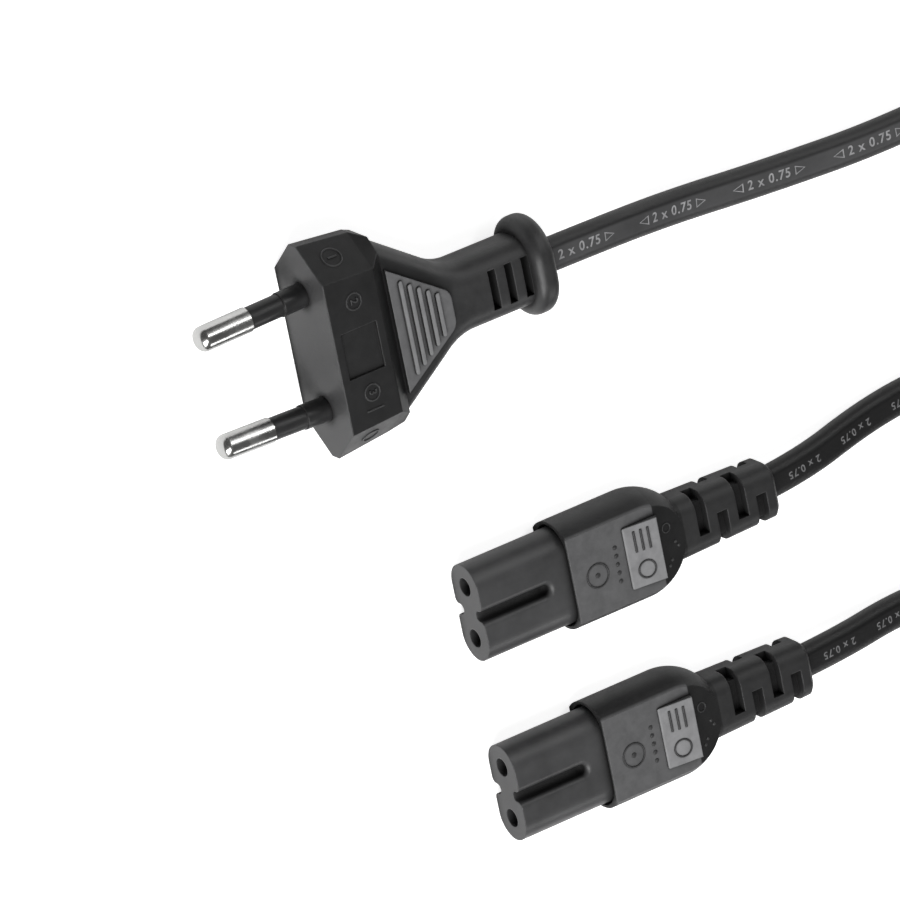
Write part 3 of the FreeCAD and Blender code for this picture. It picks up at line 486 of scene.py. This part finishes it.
def triangle_outline(tip, base, half, line):
    """A thin triangle lying along the cord, as three flat strips."""
    corners = [Vector((tip, 0.0)), Vector((base, half)), Vector((base, -half))]
    middle = (corners[0] + corners[1] + corners[2]) / 3
    inner = [corner + (middle - corner).normalized() * line for corner in corners]
    return [[corners[i], corners[i - 1], inner[i - 1], inner[i]] for i in range(3)]


PRINT_LIFT = 0.025 * MM
ARROW_BASE, ARROW_TIP = 0.9 * MM, 2.9 * MM
ARROW_HALF, ARROW_LINE = 0.75 * MM, 0.3 * MM


def make_print(name, points, starts, size, ink, turned=False, arrows=False):
    """Repeats the cord's print on the upper flat of the cord, a hair above its surface."""
    stations = frames_along(points)
    distances = [station[0] for station in stations]
    radius = CORD_THICKNESS / 2
    reach = CORD_WIDTH / 2 - radius
    letters, faces = text_shape("2 x 0.75", size)
    loops = [[letters[corner].to_2d() for corner in face] for face in faces]
    half = max(corner.x for loop in loops for corner in loop)
    for sign in (1, -1) if arrows else ():
        loops += triangle_outline(sign * (half + ARROW_TIP), sign * (half + ARROW_BASE),
                                  ARROW_HALF, ARROW_LINE)
    work = bmesh.new()
    for start in starts:
        for loop in loops:
            corners = []
            for corner in loop:
                x, y = (-corner.x, corner.y) if turned else (corner.x, -corner.y)
                place = start + x
                index = bisect_left(distances, place)
                share = (place - distances[index - 1]) / (distances[index] - distances[index - 1])
                point, side, up = (stations[index - 1][k].lerp(stations[index][k], share) for k in (1, 3, 4))
                height = radius - CORD_WAIST * (1 - min(abs(y) / reach, 1.0)) + PRINT_LIFT
                corners.append(work.verts.new(point + side * y + up * height))
            work.faces.new(corners)
    bmesh.ops.recalc_face_normals(work, faces=work.faces)
    mesh = bpy.data.meshes.new(name)
    work.to_mesh(mesh)
    work.free()
    item = bpy.data.objects.new(name, mesh)
    scene.collection.objects.link(item)
    give(item, MATERIALS[ink])
    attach(item, "root")


main_line = smooth_line(MAIN_ROUTE + coil_turns() + TAIL_ROUTE)
branch_lines = {"a": smooth_line(BRANCH_A_ROUTE), "b": smooth_line(BRANCH_B_ROUTE)}
main_flex = make_cord("main_flex", main_line, "cord_sheath")
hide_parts("main_cord", "main_coil", "main_cord_tail")
make_print("main_print", main_line, [(18 + 19 * i) * MM for i in range(56)], 2.15 * MM, "ink", arrows=True)
for tag, place in (("a", 0.187), ("b", 0.197)):
    line = branch_lines[tag]
    flex = make_cord(f"branch_flex_{tag}", line, "branch_sheath")
    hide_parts(f"branch_cord_{tag}")
    make_print(f"branch_print_{tag}", line, [(18 + 11 * i) * MM for i in range(15)], 1.7 * MM,
               "faded_ink", turned=True)


# Moulded marks
MARK_HEIGHT = 0.14 * MM
MARK_ROOT = 0.05 * MM
MARK_REACH = 4.0 * MM
DOWN = Vector((0, 0, -1))


def ring(radius, width=0.38, steps=40):
    """A raised ring: points across, along and up, with up running from 0 to 1, and its faces."""
    section = ((radius, 0.0), (radius - 0.1, 1.0), (radius - width + 0.1, 1.0), (radius - width, 0.0))
    points = []
    for step in range(steps):
        angle = 2 * math.pi * step / steps
        points += [(far * math.cos(angle), far * math.sin(angle), up) for far, up in section]
    faces = []
    for step in range(steps):
        near, following = 4 * step, 4 * ((step + 1) % steps)
        faces += [(near + k, following + k, following + (k + 1) % 4, near + (k + 1) % 4) for k in range(4)]
    return points, faces


def bar(width, length):
    """A raised bar with sloping sides."""
    points = []
    for up, inset in ((0.0, 0.0), (1.0, 0.08)):
        x, y = width / 2 - inset, length / 2 - inset
        points += [(-x, -y, up), (x, -y, up), (x, y, up), (-x, y, up)]
    sides = [(k, (k + 1) % 4, 4 + (k + 1) % 4, 4 + k) for k in range(4)]
    return points, [(3, 2, 1, 0), (4, 5, 6, 7), *sides]


def stud(radius, steps=16):
    """A small raised dot."""
    points = [(0.0, 0.0, 1.0), (0.0, 0.0, 0.0)]
    for share, up in ((1.0, 0.0), (0.7, 0.8)):
        for step in range(steps):
            angle = 2 * math.pi * step / steps
            points.append((radius * share * math.cos(angle), radius * share * math.sin(angle), up))
    faces = []
    for step in range(steps):
        low, after = 2 + step, 2 + (step + 1) % steps
        faces += [(low, after, after + steps, low + steps), (low + steps, after + steps, 0), (after, low, 1)]
    return points, faces


def digits(words, size):
    """Raised digits."""
    points, faces = text_shape(words, size * MM, MM)
    return [(point.x / MM, point.y / MM, float(point.z > 0)) for point in points], faces


def emboss(name, node, marks):
    """Lays raised marks on a node's surface: each has a shape, a centre, the way in and its own way up."""
    mesh = nodes[node].data
    surface = BVHTree.FromPolygons([vertex.co for vertex in mesh.vertices],
                                   [face.vertices for face in mesh.polygons])
    work = bmesh.new()
    for (points, faces), centre, inwards, upright in marks:
        inwards = inwards.normalized()
        across = upright.cross(-inwards).normalized()
        along = (-inwards).cross(across)
        made = []
        for x, y, up in points:
            start = (Vector(centre) + across * x + along * y) * MM - inwards * MARK_REACH
            place, normal, _, _ = surface.ray_cast(start, inwards)
            made.append(work.verts.new(place + normal * (up * MARK_HEIGHT - (1 - up) * MARK_ROOT)))
        for face in faces:
            work.faces.new([made[corner] for corner in face])
    bmesh.ops.remove_doubles(work, verts=work.verts, dist=0.001 * MM)
    bmesh.ops.recalc_face_normals(work, faces=work.faces)
    made_mesh = bpy.data.meshes.new(name)
    work.to_mesh(made_mesh)
    work.free()
    item = bpy.data.objects.new(name, made_mesh)
    scene.collection.objects.link(item)
    give(item, MATERIALS["soft_black"])
    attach(item, "root")


ALONG = Vector((0, 1, 0))
emboss("plug_marks", "plug_body", [
    (ring(1.8), (-51.3, -22.9, 10.7), Vector((0.754, 0, -0.657)), ALONG),
    (digits("1", 2.2), (-51.3, -22.9, 10.7), Vector((0.754, 0, -0.657)), ALONG),
    (ring(1.5), (-44.4, -22.4, 13.6), DOWN, ALONG),
    (digits("2", 1.9), (-44.4, -22.4, 13.6), DOWN, ALONG),
    (ring(1.5), (-29.6, -22.4, 13.6), DOWN, ALONG),
    (digits("3", 1.9), (-29.6, -22.4, 13.6), DOWN, ALONG),
    (bar(0.4, 3.2), (-26.9, -22.4, 13.6), DOWN, ALONG),
    (ring(1.6), (-21.8, -22.6, 10.7), Vector((-0.754, 0, -0.657)), ALONG),
])
for tag, middle in (("a", 14.4), ("b", 44.8)):
    emboss(f"grip_marks_{tag}", f"grip_{tag}", [
        (ring(2.1), (middle + 0.6, 11.7, 9.2), DOWN, ALONG),
        (stud(0.5), (middle + 0.6, 11.7, 9.2), DOWN, ALONG),
        *[(stud(0.42), (middle + 0.2 + 1.4 * step, 15.5, 9.2), DOWN, ALONG) for step in range(-2, 3)],
        *[(bar(3.6, 0.45), (middle - 2.4, along, 9.8), DOWN, ALONG) for along in (18.9, 20.1, 21.3)],
        (ring(1.6), (middle + 2.5, 20.1, 9.8), DOWN, ALONG),
        (ring(0.9, 0.3), (middle - 2.2, 25.1, 9.2), DOWN, ALONG),
        *[(stud(0.32), (middle + x, y, 9.2), DOWN, ALONG)
          for x, y in ((0.6, 26.4), (1.4, 26.9), (3.2, 25.2), (4.0, 24.6))],
    ])

# Floor and light
FLOOR_GLOW = 0.80
FLOOR_IN_MIRRORS = 0.3
WORLD_STRENGTH = 0.11
WHITE = (1.0, 1.0, 1.0, 1.0)
BLACK = (0.0, 0.0, 0.0, 1.0)


def make_floor():
    bpy.ops.mesh.primitive_plane_add(size=6, location=(0, 0, 0))
    floor = bpy.context.object
    floor.name = "floor"
    made = Nodes("floor")
    rays = made.add("ShaderNodeLightPath")
    mirrored = made.maths("MAXIMUM", rays.outputs["Is Glossy Ray"], rays.outputs["Is Transmission Ray"])
    mirrored = made.maths("MULTIPLY", FLOOR_IN_MIRRORS, mirrored)
    shown = made.maths("MAXIMUM", rays.outputs["Is Camera Ray"], mirrored)
    speckle = made.spread(made.noise(40, 3.0), 0.80, 0.82)
    made.set(Roughness=0.9, Base_Color=made.blend(speckle, BLACK, WHITE), Emission_Color=WHITE,
             Emission_Strength=made.maths("MULTIPLY", shown, FLOOR_GLOW))
    give(floor, made.material)


def make_world():
    world = bpy.data.worlds.new("studio")
    world.use_nodes = True
    scene.world = world
    sky = world.node_tree.nodes["Background"]
    sky.inputs["Color"].default_value = WHITE
    sky.inputs["Strength"].default_value = WORLD_STRENGTH


def lamp(name, place, size, power, aim=(0.0, 0.0, 0.0)):
    data = bpy.data.lights.new(name, "AREA")
    data.shape = "RECTANGLE"
    data.size, data.size_y = size
    data.energy = power
    item = bpy.data.objects.new(name, data)
    item.location = place
    item.rotation_mode = "QUATERNION"
    item.rotation_quaternion = (Vector(aim) - Vector(place)).to_track_quat("-Z", "Y")
    scene.collection.objects.link(item)


make_floor()
make_world()
lamp("key", (0.55, -0.75, 0.75), (0.7, 0.7), 15.0)
lamp("top", (0.25, -0.35, 1.1), (0.5, 0.5), 5.0)
lamp("strip", (-0.62, 0.52, 0.72), (0.12, 0.9), 2.5)
lamp("edge", (0.85, 0.55, 0.50), (0.25, 0.25), 1.2)
lamp("back", (-0.45, 1.05, 0.20), (0.5, 0.2), 1.6)
